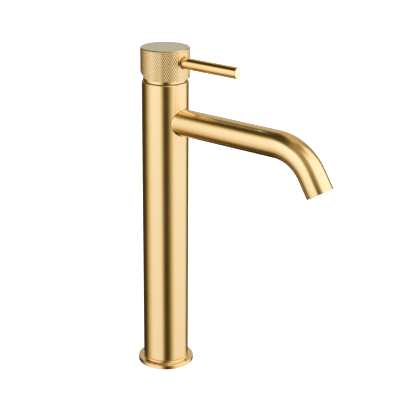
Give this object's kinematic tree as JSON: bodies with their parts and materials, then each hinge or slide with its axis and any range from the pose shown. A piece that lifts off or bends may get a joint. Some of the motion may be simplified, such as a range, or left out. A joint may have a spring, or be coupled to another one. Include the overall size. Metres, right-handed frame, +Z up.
{
  "type": "bathroom mixer faucet",
  "caption": "Tall single-lever basin mixer with a slim round column, a fixed bent spout, a knurled handle and a straight pin lever, with the ceramic-disc cartridge inside.",
  "frame": {"origin": "on the column's axis in the deck plane, at the underside of the foot insert", "axes": "+Z up along the column, -Y to the front along the spout and the lever, +X to the user's right"},
  "size_m": [0.052, 0.2042, 0.3039],
  "materials": {
    "satin_gold": "satin brushed gold plating",
    "knurled_gold": "satin gold plating over diamond knurling, with a fine turned top",
    "polished_gold": "polished gold plating",
    "raw_brass": "machined brass",
    "steel": "turned stainless steel",
    "black_rubber": "moulded black rubber",
    "white_plastic": "moulded white plastic",
    "grey_plastic": "moulded grey plastic",
    "ceramic": "lapped ceramic"
  },
  "bodies": {
    "faucet_body": {"base_gasket": "black_rubber", "base_flange": "satin_gold", "foot_insert": "raw_brass", "body_column": "satin_gold", "valve_body": "raw_brass", "spout_tube": "satin_gold", "aerator_housing": "satin_gold", "aerator_insert": "white_plastic", "aerator_washer": "black_rubber", "hot_inlet_seal": "black_rubber", "cold_inlet_seal": "black_rubber", "outlet_seal": "black_rubber", "cartridge_base": "grey_plastic", "disc_seal": "black_rubber", "fixed_disc": "ceramic", "cartridge_housing": "white_plastic", "retaining_nut": "raw_brass", "trim_ring": "satin_gold"},
    "rotor": {"cartridge_rotor": "grey_plastic", "pivot_pin": "steel"},
    "handle": {"spindle": "raw_brass", "handle_shell": "knurled_gold", "lever_pin": "polished_gold", "grub_screw": "steel"},
    "disc_slider": {"disc_carrier": "grey_plastic", "moving_disc": "ceramic"}
  },
  "joints": [
    {"name": "mix_turn", "type": "hinge", "parent": "faucet_body", "child": "rotor", "pos_m": [0, 0, 0.2696], "axis": [0, 0, 1], "range_deg": [-50, 50]},
    {"name": "lever_lift", "type": "hinge", "parent": "rotor", "child": "handle", "pos_m": [0, 0, 0.2696], "axis": [-1, 0, 0], "range_deg": [0, 25]},
    {"name": "disc_slide", "type": "slide", "parent": "rotor", "child": "disc_slider", "axis": [0, -1, 0], "range_m": [0, 0.004]}
  ],
  "couplings": [
    {"joint": "disc_slide", "follows": "lever_lift", "m_per_rad": 0.009105}
  ]
}
